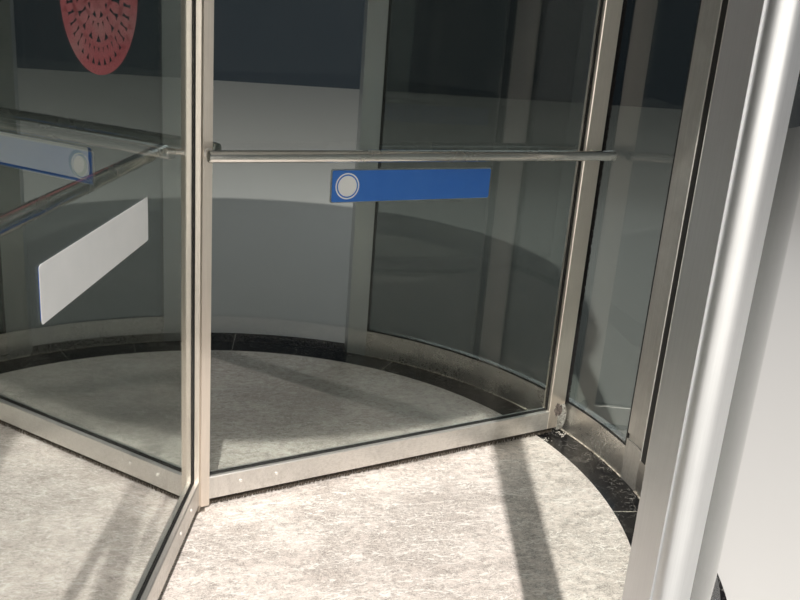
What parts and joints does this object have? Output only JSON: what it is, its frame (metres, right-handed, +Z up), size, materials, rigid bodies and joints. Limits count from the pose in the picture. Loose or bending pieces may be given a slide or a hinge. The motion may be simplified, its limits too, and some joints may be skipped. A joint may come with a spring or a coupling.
{
  "type": "revolving door",
  "caption": "Glazed revolving door: wings on a centre post turn inside a round drum of curved glass, steel posts and rails, with a stone floor and a flat canopy.",
  "frame": {"origin": "on the turning axis, at the underside of the floor disc", "axes": "+Z up, -Y to the street side, +Y to the inside of the building, +X to the right when seen from the street"},
  "size_m": [3.02, 3.0198, 2.534],
  "materials": {
    "pale_stone": "honed",
    "black_marble": "polished",
    "curved_glass": "clear",
    "wing_glass": "clear",
    "black_brush": "pile",
    "black_rubber": "matt",
    "polished_steel": "polished",
    "satin_steel": "satin",
    "bar_steel": "satin",
    "housing_steel": "matt",
    "white_panel": "matt",
    "cast_zinc": "cast"
  },
  "bodies": {
    "drum": {"base_rail_left_back": "polished_steel", "base_rail_left_front": "polished_steel", "base_rail_right_back": "polished_steel", "base_rail_right_front": "polished_steel", "canopy_back": "satin_steel", "canopy_front": "satin_steel", "ceiling_panel": "white_panel", "entrance_post_left": "satin_steel", "entrance_post_right": "satin_steel", "floor_border": "black_marble", "floor_disc": "pale_stone", "floor_pivot": "satin_steel", "head_rail_left": "satin_steel", "head_rail_right": "satin_steel", "inside_post_left": "satin_steel", "inside_post_right": "satin_steel", "middle_post_left": "satin_steel", "middle_post_right": "satin_steel", "roof_cover": "satin_steel", "top_bearing": "housing_steel", "wall_gaskets": "black_rubber", "wall_glass_left_back": "curved_glass", "wall_glass_left_front": "curved_glass", "wall_glass_right_back": "curved_glass", "wall_glass_right_front": "curved_glass"},
    "rotor": {"canopy_brushes": "black_brush", "centre_post": "satin_steel", "floor_brushes": "black_brush", "foot_castings": "cast_zinc", "side_brushes": "black_brush", "wing_a_bottom_rail": "satin_steel", "wing_a_glass": "wing_glass", "wing_a_outer_stile": "satin_steel", "wing_a_push_bar": "bar_steel", "wing_a_top_rail": "satin_steel", "wing_b_bottom_rail": "satin_steel", "wing_b_glass": "wing_glass", "wing_b_outer_stile": "satin_steel", "wing_b_push_bar": "bar_steel", "wing_b_top_rail": "satin_steel", "wing_c_bottom_rail": "satin_steel", "wing_c_glass": "wing_glass", "wing_c_outer_stile": "satin_steel", "wing_c_push_bar": "bar_steel", "wing_c_top_rail": "satin_steel"}
  },
  "joints": [
    {"name": "rotor_turn", "type": "hinge", "parent": "drum", "child": "rotor", "pos_m": [0, 0, 1.1], "axis": [0, 0, 1], "continuous": true}
  ]
}
